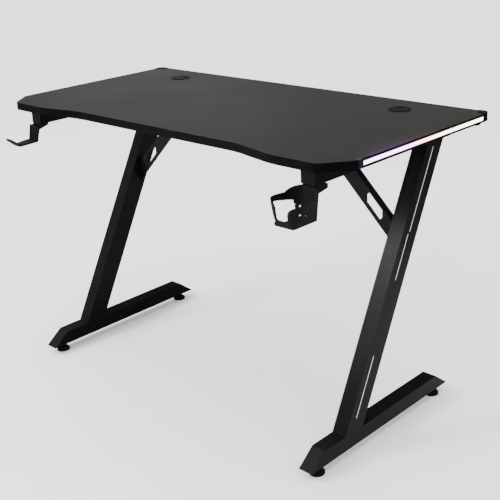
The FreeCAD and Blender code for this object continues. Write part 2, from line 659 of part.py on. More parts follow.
# Cup holder: a cup drawn out from a square-cornered foot to a round rim, with a handle slot in
# front, an open left side under the rim and a C-shaped ledge for a floor, hung on a flange under
# the rail
RIM_SHARES = (0.36, 0.71)
ROUND_SHARE = 0.97
SHOULDER_SHARES = ((0, 0), (0.12, 0.29), (0.3, 0.62), (0.61, 0.83), (1, 1))
SLOT_ROUND_SHARES = ((1, 0), (0.3, 0.3), (0, 1))
cup_x = leg_axis
cup_y = front - s.cup_reach + s.cup_rim_radius
cup_low = rail_bottom - s.cup_depth
floor_top = rail_bottom - s.cup_floor_drop
cup_front = cup_y - s.cup_rim_radius - s.overrun
cup_top = rail_bottom + s.overrun
cup_under = cup_low - s.overrun


def below(drop):
    return rail_bottom - drop


def cup_outline(half_across, behind, ahead, radius, height):
    outline = rounded_wire([(half_across, behind, radius), (-half_across, behind, radius),
                            (-half_across, -ahead, radius), (half_across, -ahead, radius)])
    outline.translate(FreeCAD.Vector(cup_x.number, cup_y.number, height.number))
    return outline


def cup_form(name, wall):
    """The cup's outside, or its inside where the wall is taken off."""
    rim = s.cup_rim_radius - wall
    foot = cup_outline(s.cup_foot_width / 2 - wall, s.cup_foot_back - wall, s.cup_foot_front - wall,
                       s.cup_foot_radius, cup_low)
    mouth = cup_outline(rim, rim, rim, rim * ROUND_SHARE, rail_bottom)
    form = doc.addObject("Part::Feature", name)
    form.Shape = Part.makeLoft([foot, mouth], True, True)
    return form


def cup_cut(name, plane, outline, length, x, y=ZERO, symmetric=False, reverse=False):
    """A straight cut through the cup, drawn in its front or side view."""
    tool = doc.addObject("PartDesign::Body", name)
    pad(tool, plane, name + "_shape", [outline], length, symmetric, reverse)
    return place(tool, x, y)


outside = cup_form("cup_outside", ZERO)
inside = cup_form("cup_inside", s.cup_wall)
slab = box("cup_slab", (cup_x - s.cup_rim_radius, cup_front, cup_low),
           (2 * s.cup_rim_radius, 2 * (s.cup_rim_radius + s.overrun), floor_top - cup_low))
ledge_slab = doc.addObject("Part::Common", "cup_ledge_slab")
ledge_slab.Base = outside
ledge_slab.Tool = slab
ledge_hole = rod("cup_ledge_hole", (cup_x, cup_y, cup_under),
                 s.cup_foot_width / 2 - s.cup_wall - s.cup_floor_lip, s.cup_depth)
ledge = cut("cup_ledge", ledge_slab, [ledge_hole])
flange_end = cup_y + s.cup_rim_radius + s.cup_flange_length
haunch_end = cup_y + s.cup_rim_radius - 2 * s.cup_wall
haunch = doc.addObject("PartDesign::Body", "cup_haunch_body")
pad(haunch, "YZ_Plane", "cup_haunch_side",
    [[(cup_y, rail_bottom), (flange_end - s.cup_relief_run, rail_bottom), (flange_end, below(s.cup_relief)),
      (flange_end, below(s.cup_flange_thickness)), (haunch_end, below(s.cup_haunch)),
      (cup_y, below(s.cup_haunch))]], s.tube_width)
place(haunch, cup_x)
haunch_open = cut("cup_haunch_open", haunch, [inside])
shell = cut("cup_shell", outside, [inside])
# The slot's right edge has a rounded shoulder, and its left edge is the pillar that carries the rim
half_slot = s.handle_slot_width / 2
half_mouth = s.handle_mouth_width / 2
shoulder_run = half_mouth - half_slot
shoulder_rise = s.handle_shoulder_low - s.handle_shoulder_high
slot_foot = [(half_slot - s.handle_slot_round * across,
              below(s.handle_slot_bottom - s.handle_slot_round * up))
             for across, up in SLOT_ROUND_SHARES]
shoulder = [(half_slot + shoulder_run * across, below(s.handle_shoulder_low - shoulder_rise * up))
            for across, up in SHOULDER_SHARES]
pillar = [(-half_mouth, below(s.pillar_top)), (-s.pillar_head_reach, below(s.pillar_head)),
          (-s.pillar_waist_reach, below(s.pillar_waist))]
handle_slot = (slot_foot + shoulder + [(half_mouth, cup_top), (-half_mouth, cup_top)] + pillar
               + [(-x, z) for x, z in reversed(slot_foot)])
rim_slope = [(cup_front, below(s.cup_rim_drop)),
             (cup_y + s.cup_rim_radius * RIM_SHARES[0], below(s.cup_rim_dip)),
             (cup_y + s.cup_rim_radius * RIM_SHARES[1], below(s.cup_rim_rise)),
             (cup_y + s.cup_rim_radius, below(s.cup_rim_high)), (cup_y + s.cup_rim_radius, cup_top),
             (cup_front, cup_top)]
window = [(cup_y - s.window_front, cup_under), (cup_y - s.window_front, below(s.window_front_top)),
          (cup_y + s.window_back, below(s.window_back_top)), (cup_y + s.window_back, below(s.window_step)),
          (cup_y + s.window_reach, below(s.window_step)), (cup_y + s.window_reach, cup_under)]
notch_side = -s.cup_rim_radius - s.overrun
corner_notch = [(-s.notch_foot, floor_top), (-s.notch_head, below(s.notch_top)),
                (notch_side, below(s.notch_top)), (notch_side, floor_top)]
cup_reach_out = s.cup_rim_radius + s.overrun
drain_start = cup_x - s.ledge_keep - s.overrun
drain = box("cup_drain", (drain_start, cup_y + s.cup_foot_back - 2 * s.cup_wall, cup_under),
            (cup_x + s.drain_reach - drain_start, s.cup_rim_radius, below(s.drain_top) - cup_under))
cup_tools = [cup_cut("handle_slot", "XZ_Plane", handle_slot, cup_reach_out, cup_x, cup_y),
             cup_cut("corner_notch", "XZ_Plane", corner_notch, cup_reach_out, cup_x, cup_y - s.window_front),
             cup_cut("rim_slope", "YZ_Plane", rim_slope, 2 * cup_reach_out, cup_x, symmetric=True),
             cup_cut("side_window", "YZ_Plane", window, cup_reach_out, cup_x - s.ledge_keep, reverse=True),
             drain]
FRONT_ANGLE = -90
cup_holes = ((s.hole_angle, s.cup_hole_high), (s.hole_angle, s.cup_hole_low),
             (s.side_hole_angle, s.cup_hole_side))
for number, (angle, drop) in enumerate(cup_holes):
    drill = rod(f"cup_drill_{number}", (cup_x, cup_y, below(drop)), s.cup_hole_radius, cup_reach_out)
    across = FreeCAD.Rotation(FreeCAD.Vector(0, 1, 0), 90)
    around = FreeCAD.Rotation(FreeCAD.Vector(0, 0, 1), FRONT_ANGLE + angle.number)
    drill.Placement.Rotation = around.multiply(across)
    cup_tools.append(drill)
cup_screws = []
for number, share in enumerate(FLANGE_SCREW_SHARES):
    spot = (cup_x + s.tube_width * share, flange_end - s.screw_head_radius * 4, below(s.cup_seat))
    fastener, hole = screw_down(f"cup_screw_{number}", spot, "+z", s.cup_seat + s.tube_wall + s.bolt_grip)
    counterbore = rod(f"cup_counterbore_{number}", (spot[0], spot[1], below(s.cup_haunch)),
                      s.screw_head_radius + s.fit_clearance, s.cup_haunch - s.cup_seat)
    cup_screws.append(fastener)
    cup_tools += [hole, counterbore]
    rail_tools["right"].append(hole)
node(cut("cup", fuse("cup_blank", [shell, ledge, haunch_open]), cup_tools), "cup_holder")
group("cup_screws", cup_screws)

# Headphone hook: a ribbed bracket that drops from the left rail, runs forward and turns up. Its stem
# leans forward and its top steps down in front of the rail.
hook_top = rail_bottom
stem_top = front + s.hook_stem
stem_foot = stem_top - s.hook_lean
stem_high = hook_top - s.hook_step
arm_low = hook_top - s.hook_drop
arm_high = arm_low + s.hook_thickness
arm_end = arm_high - s.hook_arm_fall
hook_low = arm_low - s.hook_arm_fall - s.overrun
tip_y = front - s.hook_reach
tip_start = tip_y + s.hook_tip_run
hook_end = stem_top + s.hook_thickness + s.hook_flange_length
tip_slope = s.hook_tip_rise / s.hook_tip_run
hook_body = doc.addObject("PartDesign::Body", "hook_body")
pad(hook_body, "YZ_Plane", "hook_side",
    [[(hook_end, hook_top), (rail_start, hook_top), (rail_start, stem_high), (stem_top, stem_high),
      (stem_foot, arm_high), (tip_start, arm_end),
      (tip_y + s.hook_thickness * tip_slope / 2, arm_end + s.hook_tip_rise),
      (tip_y, arm_end + s.hook_tip_rise - s.hook_thickness),
      (tip_start - s.hook_thickness / 2, arm_end - s.hook_thickness),
      (stem_foot + s.hook_thickness, arm_low),
      (stem_top + s.hook_thickness, hook_top - s.hook_thickness - s.hook_gusset),
      (hook_end, hook_top - s.hook_thickness)]], s.hook_width)
place(hook_body, -leg_axis)
ribs = []
rib_high = stem_high - s.hook_thickness
rib_lean = s.hook_lean * (rib_high - arm_high) / (stem_high - arm_high)
for number in (-1, 0, 1):
    rib = doc.addObject("PartDesign::Body", f"hook_rib_{number + 1}")
    pad(rib, "YZ_Plane", f"hook_rib_side_{number + 1}",
        [[(stem_foot, arm_high), (stem_foot + rib_lean, rib_high),
          (stem_foot + rib_lean - s.rib_height, rib_high),
          (stem_foot - s.rib_height, arm_high)]], s.rib_width)
    ribs.append(place(rib, number * s.rib_pitch - leg_axis))
half_hook = s.hook_width / 2
hook_tools = []
for name, side in SIDES.items():
    outer_x = side * (half_hook + s.overrun)
    narrowing = doc.addObject("PartDesign::Body", f"hook_narrowing_{name}")
    pad(narrowing, "XZ_Plane", f"hook_narrowing_shape_{name}",
        [[(side * half_hook, hook_top), (outer_x, hook_top), (outer_x, hook_low),
          (side * s.hook_low_width / 2, hook_low)]], 2 * s.desk_depth)
    tapering = doc.addObject("PartDesign::Body", f"hook_tapering_{name}")
    pad(tapering, "XY_Plane", f"hook_tapering_shape_{name}",
        [[(side * half_hook, stem_foot), (outer_x, stem_foot), (outer_x, tip_y - s.overrun),
          (side * s.hook_tip_width / 2, tip_y - s.overrun)]], 2 * s.desk_height)
    hook_tools += [place(narrowing, -leg_axis), place(tapering, -leg_axis)]
hook_screws = []
for number, share in enumerate(FLANGE_SCREW_SHARES):
    spot = (s.tube_width * share - leg_axis, hook_end - s.screw_head_radius * 2, hook_top - s.hook_thickness)
    fastener, hole = screw_down(f"hook_screw_{number}", spot, "+z",
                                s.hook_thickness + s.tube_wall + s.bolt_grip)
    spot_face = rod(f"hook_spot_face_{number}", (spot[0], spot[1], spot[2] - s.hook_gusset),
                    s.screw_head_radius + s.fit_clearance, s.hook_gusset)
    hook_screws.append(fastener)
    hook_tools += [hole, spot_face]
    rail_tools["left"].append(hole)
node(cut("hook", fuse("hook_blank", [hook_body] + ribs), hook_tools), "headphone_hook")
group("hook_screws", hook_screws)

# Rails are finished here, once all their holes are known
for name, side in SIDES.items():
    blank = doc.addObject("PartDesign::Body", f"rail_blank_{name}")
    pad(blank, "XZ_Plane", f"rail_section_{name}",
        [rectangle(-half_tube, ZERO, half_tube, s.rail_height),
         rectangle(-inner_half, s.tube_wall, inner_half, s.rail_height - s.tube_wall)], rail_length)
    place(blank, side * leg_axis, (rail_start + rail_end) / 2, rail_bottom)
    node(cut(f"rail_{name}", blank, rail_tools[name]), f"top_rail_{name}")

# Light controller: base plate, case, circuit board, button and power socket
BUTTON_SHARE = -0.25
SOCKET_SHARE = 0.2
LEAD_SHARE = 0.22
case_x = grommet_x - s.case_offset
case_y = back - s.case_back
case_top = underside - s.base_thickness
case_low = case_top - s.case_height
case_floor = case_low + s.case_wall
half_case = s.case_length / 2
half_depth = s.case_width / 2
base_blank = box("base_blank", (case_x - half_case - s.base_ear, case_y - half_depth, case_top),
                 (s.case_length + 2 * s.base_ear, s.case_width, s.base_thickness))
base_tools = []
controller_screws = []
for number, outward in enumerate((-1, 1)):
    spot = (case_x + outward * (half_case + s.base_ear / 2), case_y, case_top)
    fastener, hole = screw_down(f"controller_screw_{number}", spot, "+z", s.base_thickness + s.screw_depth)
    controller_screws.append(fastener)
    base_tools.append(hole)
    board_tools.append(hole)
node(cut("base", base_blank, base_tools), "controller_base")
group("controller_screws", controller_screws)
case_outside = box("case_outside", (case_x - half_case, case_y - half_depth, case_low),
                   (s.case_length, s.case_width, s.case_height))
case_inside = box("case_inside", (case_x - half_case + s.case_wall, case_y - half_depth + s.case_wall,
                                  case_floor),
                  (s.case_length - 2 * s.case_wall, s.case_width - 2 * s.case_wall, s.case_height))
case_hollow = cut("case_hollow", case_outside, [case_inside])
shelves = []
for number, x in enumerate((case_x - half_case + s.case_wall, case_x + half_case - 2 * s.case_wall)):
    shelves.append(box(f"case_shelf_{number}", (x, case_y - half_depth + s.case_wall, case_floor),
                       (s.case_wall, s.case_width - 2 * s.case_wall, s.board_rise)))
button_x = case_x + s.case_length * BUTTON_SHARE
button_hole = rod("button_hole", (button_x, case_y, case_low - s.overrun), s.button_radius + s.fit_clearance,
                  s.case_wall + s.overrun)
socket_x = case_x + s.case_length * SOCKET_SHARE
socket_z = case_floor + s.socket_height / 2
wall_back = case_y + half_depth
socket_bore = rod("socket_bore", (socket_x, wall_back + s.overrun, socket_z), s.socket_bore,
                  s.socket_length + s.overrun, "-y")
lead_y = case_y + s.case_width * LEAD_SHARE
lead_z = case_top - s.lead_radius - s.fit_clearance
lead_room = s.lead_radius + s.fit_clearance
lead_notch = box("lead_notch", (case_x - half_case - s.overrun, lead_y - lead_room, lead_z - lead_room),
                 (s.case_length + 2 * s.overrun, 2 * lead_room, 2 * lead_room + s.overrun))
node(cut("case", fuse("case_blank", [case_hollow] + shelves), [button_hole, socket_bore, lead_notch]),
     "controller_case")
pcb = box("pcb", (case_x - half_case + s.case_wall + s.fit_clearance,
                  case_y - half_depth + s.case_wall + s.fit_clearance, case_floor + s.board_rise),
          (s.case_length - 2 * (s.case_wall + s.fit_clearance),
           s.case_width - 2 * (s.case_wall + s.fit_clearance), s.pcb_thickness))
switch_height = s.board_rise - s.button_flange - s.button_travel - s.fit_clearance
switch = box("switch", (button_x - s.switch_side / 2, case_y - s.switch_side / 2,
                        case_floor + s.board_rise - switch_height),
             (s.switch_side, s.switch_side, switch_height))
node(fuse("controller_circuit", [pcb, switch]), "controller_board")
socket_block = box("socket_block", (socket_x - s.socket_width / 2, wall_back - s.case_wall - s.socket_length,
                                    case_floor),
                   (s.socket_width, s.socket_length, s.socket_height))
node(cut("socket", socket_block, [socket_bore]), "power_socket")
plunger = rod("plunger", (button_x, case_y, case_low - s.button_proud), s.button_radius,
              s.case_wall + s.button_proud + s.fit_clearance + s.button_flange)
collar = rod("plunger_collar", (button_x, case_y, case_floor + s.fit_clearance),
             s.button_radius + s.button_flange, s.button_flange)
node(fuse("button", [plunger, collar]), "mode_button")


# Leads from the controller to the light strips, clipped under the board behind the rails
def lead_path(points, bends):
    """A wire through the points with each inner corner rounded."""
    edges = []
    start = points[0]
    for before, corner, after, bend in zip(points, points[1:], points[2:], bends):
        inward = (before - corner).normalize()
        onward = (after - corner).normalize()
        half_angle = inward.getAngle(onward) / 2
        reach = bend / math.tan(half_angle)
        bisector = (inward + onward).normalize()
        middle = corner + bisector * (bend / math.sin(half_angle) - bend)
        edges.append(Part.LineSegment(start, corner + inward * reach).toShape())
        edges.append(Part.Arc(corner + inward * reach, middle, corner + onward * reach).toShape())
        start = corner + onward * reach
    edges.append(Part.LineSegment(start, points[-1]).toShape())
    return Part.Wire(edges)


CLIP_SHARES = (0.3, 0.75)
lead_back_y = back - s.lead_back
clips = []
for name, side in SIDES.items():
    start_x = case_x + side * (half_case - 2 * s.case_wall)
    turn_x = case_x + side * (half_case + s.base_ear + 2 * s.lead_bend)
    route = [(start_x, lead_y, lead_z), (turn_x, lead_y, lead_z), (turn_x, lead_back_y, lead_z),
             (side * lead_axis, lead_back_y, lead_z), (side * lead_axis, lead_rise, lead_z),
             (side * lead_axis, lead_rise, led_low + s.led_height / 2)]
    points = [FreeCAD.Vector(x.number, y.number, z.number) for x, y, z in route]
    path = lead_path(points, [s.lead_bend.number] * 3 + [s.lead_rise_bend.number])
    ring = Part.Wire(Part.makeCircle(s.lead_radius.number, points[0], points[1] - points[0]))
    lead = doc.addObject("Part::Feature", f"lead_{name}")
    lead.Shape = path.makePipeShell([ring], True, True)
    node(lead, f"led_lead_{name}")
    run = side * lead_axis - turn_x
    clip_side = lead_room + s.clip_wall
    for number, share in enumerate(CLIP_SHARES):
        x = turn_x + run * share
        saddle = box(f"clip_block_{name}_{number}",
                     (x - s.clip_length / 2, lead_back_y - clip_side, lead_z - clip_side),
                     (s.clip_length, 2 * clip_side, underside - lead_z + clip_side))
        bore = rod(f"clip_bore_{name}_{number}", (x - s.clip_length, lead_back_y, lead_z),
                   lead_room, 2 * s.clip_length, "+x")
        clips.append(cut(f"clip_{name}_{number}", saddle, [bore]))
group("cable_clips", clips)

# The board and its band are finished here, once every groove and hole is known
node(cut("board", board_blank, board_tools), "desktop_panel")
node(cut("band", band_blank, band_tools), "edge_band")

doc.recompute()
os.makedirs("parts", exist_ok=True)
for thing in doc.Objects:
    if "Invalid" in thing.State or "Error" in thing.State:
        raise RuntimeError(f"{thing.Label} did not build: {thing.State}")
for thing in nodes:
    if thing.Shape.isNull() or not thing.Shape.isValid() or not thing.Shape.Solids:
        raise RuntimeError(f"{thing.Label} has no valid solid")
    thing.Shape.exportStep(f"parts/{thing.Label}.step")
print(len(nodes), "sub-parts written")
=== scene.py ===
"""Looks of a gaming desk on leaning Z-shaped legs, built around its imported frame."""
import math

import bmesh
import bpy
from mathutils import Matrix, Vector


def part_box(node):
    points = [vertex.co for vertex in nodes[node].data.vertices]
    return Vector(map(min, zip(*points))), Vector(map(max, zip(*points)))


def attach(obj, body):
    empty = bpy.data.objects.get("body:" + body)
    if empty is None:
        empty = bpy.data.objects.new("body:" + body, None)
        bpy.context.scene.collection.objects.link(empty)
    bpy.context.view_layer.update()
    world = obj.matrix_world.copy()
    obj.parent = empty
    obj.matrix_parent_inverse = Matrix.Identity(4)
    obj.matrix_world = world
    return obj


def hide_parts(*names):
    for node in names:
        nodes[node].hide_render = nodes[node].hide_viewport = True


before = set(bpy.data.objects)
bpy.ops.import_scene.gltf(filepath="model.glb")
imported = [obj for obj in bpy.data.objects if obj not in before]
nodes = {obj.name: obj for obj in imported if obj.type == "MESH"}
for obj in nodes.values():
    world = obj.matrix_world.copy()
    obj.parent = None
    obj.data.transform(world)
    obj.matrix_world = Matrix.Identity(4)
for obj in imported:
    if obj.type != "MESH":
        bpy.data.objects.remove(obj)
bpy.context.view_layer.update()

# The camera stands off the right front corner, higher than the board, and looks down on the desk
# through a short telephoto lens. Its frame is shifted down so that the feet are in the picture.
PICTURE_PX = 500
FOCUS_PX = 947.7
AXIS_ROW_PX = 190
SENSOR_MM = 36
VIEW_DEPTH = 100
CAMERA_PLACE = (1.7426, -1.6669, 1.2895)
CAMERA_DEGREES = (44.61, 17.43, -2.75)
yaw, pitch, roll = (math.radians(angle) for angle in CAMERA_DEGREES)
look = Vector((-math.sin(yaw) * math.cos(pitch), math.cos(yaw) * math.cos(pitch), -math.sin(pitch)))
level = Vector((math.cos(yaw), math.sin(yaw), 0))
rise = level.cross(look)
across = level * math.cos(roll) + rise * math.sin(roll)
upward = rise * math.cos(roll) - level * math.sin(roll)
lens = bpy.data.cameras.new("photo_lens")
lens.sensor_width = SENSOR_MM
lens.lens = FOCUS_PX / PICTURE_PX * SENSOR_MM
lens.shift_y = (AXIS_ROW_PX - PICTURE_PX / 2) / PICTURE_PX
lens.clip_end = VIEW_DEPTH
camera = bpy.data.objects.new("photo_camera", lens)
camera_turn = Matrix((across, upward, -look)).transposed().to_4x4()
camera.matrix_world = Matrix.Translation(CAMERA_PLACE) @ camera_turn
bpy.context.scene.collection.objects.link(camera)
bpy.context.scene.camera = camera

# The studio: matte white seamless paper on the floor and, far off, as a lit wall that only the
# camera sees, under a bright ceiling. Two softboxes light the desk, and two gridded boxes, which
# only reflections show, draw the highlights on its frame.
MM = 0.001
FLOOR_REACH = 30
WALL_RADIUS = 28
WALL_HEIGHT = 30
WALL_GLOW = 1.9
HORIZON_LIGHT = 0.25
CEILING_LIGHT = 3.5
NOISE_LOW = 0.3
NOISE_HIGH = 0.7


def linear(colour):
    """An sRGB hex colour as linear red, green, blue and alpha."""
    shares = [int(colour[i:i + 2], 16) / 255 for i in (1, 3, 5)]
    return (*[c / 12.92 if c <= 0.04045 else ((c + 0.055) / 1.055) ** 2.4 for c in shares], 1.0)


def add(tree, kind, settings=None, values=None, links=None):
    """Adds a node with its settings, the fixed values of its sockets and the links into them."""
    made = tree.nodes.new(kind)
    for name, value in (settings or {}).items():
        setattr(made, name, value)
    for socket, value in (values or {}).items():
        made.inputs[socket].default_value = value
    for socket, source in (links or {}).items():
        tree.links.new(source, made.inputs[socket])
    return made


def coated(name, dark, light, patch_mm, grain_mm, depth_mm, rough, **fixed):
    """A surface whose tone and gloss drift over patches and which has a fine raised grain.

    Most real grains here are finer than a pixel, so they are drawn about 1 to 3 mm wide to show.
    """
    material = bpy.data.materials.new(name)
    material.use_nodes = True
    tree = material.node_tree
    shader = tree.nodes["Principled BSDF"]
    for socket, value in fixed.items():
        shader.inputs[socket.replace("_", " ")].default_value = value
    place = add(tree, "ShaderNodeTexCoord").outputs["Object"]
    patch = add(tree, "ShaderNodeTexNoise", values={"Scale": 1 / (patch_mm * MM), "Detail": 4.0},
                links={"Vector": place}).outputs["Fac"]
    tone = add(tree, "ShaderNodeMix", {"data_type": "RGBA"},
               {6: linear(dark), 7: linear(light)}, {0: patch})
    gloss = add(tree, "ShaderNodeMapRange", None,
                {"From Min": NOISE_LOW, "From Max": NOISE_HIGH, "To Min": rough[0], "To Max": rough[1]},
                {"Value": patch})
    grain = add(tree, "ShaderNodeTexNoise", values={"Scale": 1 / (grain_mm * MM), "Detail": 2.0},
                links={"Vector": place}).outputs["Fac"]
    relief = add(tree, "ShaderNodeBump", None,
                 {"Strength": 1.0, "Distance": depth_mm * MM}, {"Height": grain})
    tree.links.new(tone.outputs[2], shader.inputs["Base Color"])
    tree.links.new(gloss.outputs["Result"], shader.inputs["Roughness"])
    tree.links.new(relief.outputs["Normal"], shader.inputs["Normal"])
    return material


def solid(name, mesh_maker, material):
    """A smooth-shaded object in the scene, made from a filled bmesh."""
    mesh = bpy.data.meshes.new(name)
    mesh_maker.to_mesh(mesh)
    mesh_maker.free()
    mesh.materials.append(material)
    mesh.polygons.foreach_set("use_smooth", [True] * len(mesh.polygons))
    made = bpy.data.objects.new(name, mesh)
    bpy.context.scene.collection.objects.link(made)
    return made


seamless_paper = coated("white_seamless_paper", "#f4f4f4", "#f8f8f8", patch_mm=400, grain_mm=2,
                        depth_mm=0.02, rough=(0.85, 0.95), Specular_IOR_Level=0.1)
paper = bmesh.new()
bmesh.ops.create_grid(paper, x_segments=8, y_segments=8, size=FLOOR_REACH)
floor = solid("paper_floor", paper, seamless_paper)
lit_paper = coated("lit_white_paper", "#f4f4f4", "#f8f8f8", patch_mm=400, grain_mm=2,
                   depth_mm=0.02, rough=(0.85, 0.95),
                   Emission_Color=linear("#ffffff"), Emission_Strength=WALL_GLOW)
sheet = bmesh.new()
bmesh.ops.create_cone(sheet, segments=64, radius1=WALL_RADIUS, radius2=WALL_RADIUS, depth=WALL_HEIGHT,
                      matrix=Matrix.Translation((0, 0, WALL_HEIGHT / 2)))
wall = solid("paper_wall", sheet, lit_paper)
wall.visible_diffuse = False
wall.visible_glossy = False
wall.visible_shadow = False

world = bpy.data.worlds.new("studio")
world.use_nodes = True
ceiling = world.node_tree
background = ceiling.nodes["Background"]
sky = add(ceiling, "ShaderNodeTexCoord").outputs["Generated"]
direction = add(ceiling, "ShaderNodeSeparateXYZ", links={0: sky})
brightness = add(ceiling, "ShaderNodeMapRange", None,
                 {"To Min": HORIZON_LIGHT, "To Max": CEILING_LIGHT}, {"Value": direction.outputs["Z"]})
background.inputs["Color"].default_value = linear("#ffffff")
ceiling.links.new(brightness.outputs["Result"], background.inputs["Strength"])
bpy.context.scene.world = world

# place, aim and width in metres, power in watts, spread in degrees
LAMPS = {
    "softbox_front": ((-1.25, -2.11, 2.15), (0.5, 0.07, 0.48), 1.0, 80, 180),
    "gloss_strip": ((-1.27, -2.1, 2.26), (0.5, 0.08, 0.5), 0.7, 1.45, 16),
    "gloss_low": ((-1.2, -2.4, 1.0), (0.5, 0.15, 0.63), 0.6, 1.5, 10),
    "softbox_back": ((-2.6, 2.0, 1.7), (0.0, 0.0, 0.76), 1.4, 5, 180),
}
for name, (place, aim, width, power, spread) in LAMPS.items():
    lamp = bpy.data.lights.new(name, "AREA")
    lamp.size = width
    lamp.energy = power
    lamp.spread = math.radians(spread)
    box = bpy.data.objects.new(name, lamp)
    box.location = place
    box.rotation_euler = (Vector(aim) - Vector(place)).to_track_quat("-Z", "Y").to_euler()
    box.visible_diffuse = not name.startswith("gloss")
    bpy.context.scene.collection.objects.link(box)

# Dark felt flags: a tall one stands behind, off to the right, two low ones close behind the desk, and
# one lies by the left foot. Only reflections show them: they keep the frame's outer faces and the
# feet dark, as in a studio where the paper ends there. Felt has no gloss at all.
dark_felt = coated("dark_felt", "#141418", "#1a1a1f", patch_mm=50, grain_mm=3, depth_mm=0.1,
                   rough=(0.9, 1.0), Specular_IOR_Level=0.0)
# place, width and height in metres, tilt in degrees
FLAGS = {
    "tall_flag": ((1.8, 1.05, 1.0), 2.0, 2.0, 90),
    "low_flag_right": ((0.22, 0.36, 0.36), 0.55, 0.66, 90),
    "low_flag_left": ((-1.0, 0.36, 0.36), 1.1, 0.66, 90),
    "floor_flag": ((-0.36, 0.04, 0.001), 0.22, 0.7, 0),
}
for name, (place, width, height, tilt) in FLAGS.items():
    upended = Matrix.Translation(place) @ Matrix.Rotation(math.radians(tilt), 4, "X")
    felt = bmesh.new()
    bmesh.ops.create_grid(felt, x_segments=4, y_segments=4, size=0.5,
                          matrix=upended @ Matrix.Diagonal((width, height, 1, 1)))
    flag = solid(name, felt, dark_felt)
    flag.visible_camera = False
    flag.visible_diffuse = False
    flag.visible_shadow = False

# Leg frames: a foot, a leaning upright and a rail of 40 mm wide steel tube on each side, welded
# together and closed at the feet's ends by welded plates, then powder coated in satin black.
# The baked powder gives a soft, slightly pebbled gloss.
SIDES = {"right": 1, "left": -1}
JOIN_MM = 0.001
FLAT_DEGREES = 0.5
SHARP_DEGREES = 30
EDGE_STEPS = 3
powder_coat = coated("satin_black_powder_coat", "#0c0c0d", "#101012", patch_mm=60, grain_mm=2.5,
                     depth_mm=0.03, rough=(0.3, 0.38), Specular_IOR_Level=0.04)


def dress(names, material, edge_mm):
    """Gives CAD pieces their finish and breaks their sharp edges as the real making does."""
    for name in names:
        piece = nodes[name]
        piece.data.materials.clear()
        piece.data.materials.append(material)
        piece.data.polygons.foreach_set("use_smooth", [True] * len(piece.data.polygons))
        piece.modifiers.new("join", "WELD").merge_threshold = JOIN_MM * MM
        faces = piece.modifiers.new("faces", "DECIMATE")
        faces.decimate_type = "DISSOLVE"
        faces.angle_limit = math.radians(FLAT_DEGREES)
        edge = piece.modifiers.new("edge", "BEVEL")
        edge.width = edge_mm * MM
        edge.segments = EDGE_STEPS
        edge.limit_method = "ANGLE"
        edge.angle_limit = math.radians(SHARP_DEGREES)
        piece.modifiers.new("shade", "WEIGHTED_NORMAL")


for side in SIDES:
    dress([f"foot_{side}", f"upright_{side}", f"top_rail_{side}"], powder_coat, edge_mm=2.5)
dress(["foot_end_plates"], powder_coat, edge_mm=0.4)

# Fillet welds across the front and back of each upright, where it stands on the foot and carries
# the rail. Coated with the frame, each shows the ripples of the weld pool.
WELD_RADIUS_MM = 2.2
WELD_LIFT_MM = 0.3
WELD_MARGIN = 0.06
RIPPLE_MM = 1.6
RIPPLE_HOLLOW = 0.86
TUBE_MM = 40
LEVEL_CUT_MM = 65.3
point_count = int(TUBE_MM / RIPPLE_MM * 2)
for side in SIDES:
    low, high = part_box(f"upright_{side}")
    cut = LEVEL_CUT_MM * MM
    seams = {"foot_front": (low.y, low.z, 1), "foot_back": (low.y + cut, low.z, 1),
             "rail_front": (high.y - cut, high.z, -1), "rail_back": (high.y, high.z, -1)}
    for place, (y, z, up) in seams.items():
        bead = bpy.data.curves.new(f"weld_{place}_{side}", "CURVE")
        bead.dimensions = "3D"
        bead.bevel_depth = WELD_RADIUS_MM * MM
        bead.bevel_resolution = 3
        bead.use_fill_caps = True
        bead.materials.append(powder_coat)
        run = bead.splines.new("POLY")
        run.points.add(point_count - 1)
        for index, point in enumerate(run.points):
            share = WELD_MARGIN + (1 - 2 * WELD_MARGIN) * (index + 0.5) / point_count
            point.co = (low.x + share * (high.x - low.x), y, z + up * WELD_LIFT_MM * MM, 1)
            point.radius = 1.0 if index % 2 else RIPPLE_HOLLOW
        seam = bpy.data.objects.new(bead.name, bead)
        bpy.context.scene.collection.objects.link(seam)
        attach(seam, "desk")

# Pinstripes: white lines printed on the outer face of each upright, along its lean. The line
# steps forward where the knee brace is bolted on behind it. A printed film is a little glossier
# than the coat under it.
STRIPE_MM = 1.9
FILM_MM = 0.12
stripe_ink = coated("white_screen_print", "#e4e4e6", "#f2f2f4", patch_mm=15, grain_mm=1,
                    depth_mm=0.01, rough=(0.35, 0.5))
# upper and lower end of each line: distance from the upright's front face, and height
STRIPES = [((28.7, 688), (29.6, 499)), ((25.2, 494.5), (26.6, 393)), ((24.7, 228), (24.7, 93))]
STRIPE_SECTION = ((-1, 0), (-1, 1), (1, 1), (1, 0))
upright_low, upright_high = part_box("upright_right")
lean = (upright_high.y - upright_low.y - LEVEL_CUT_MM * MM) / (upright_high.z - upright_low.z)
for side, sign in SIDES.items():
    for number, line in enumerate(STRIPES):
        film = bmesh.new()
        ends = []
        for offset, height in line:
            middle = upright_low.y + offset * MM + lean * (height * MM - upright_low.z)
            ends.append([film.verts.new((sign * (upright_high.x + proud * FILM_MM * MM),
                                         middle + half * STRIPE_MM / 2 * MM, height * MM))
                         for half, proud in STRIPE_SECTION])
        first, last = ends
        film.faces.new(first)
        film.faces.new(last)
        for index in range(len(STRIPE_SECTION)):
            film.faces.new((first[index - 1], first[index], last[index], last[index - 1]))
        bmesh.ops.recalc_face_normals(film, faces=film.faces)
        stripe = solid(f"pinstripe_{number}_{side}", film, stripe_ink)
        stripe.data.polygons.foreach_set("use_smooth", [False] * len(stripe.data.polygons))
        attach(stripe, "desk")

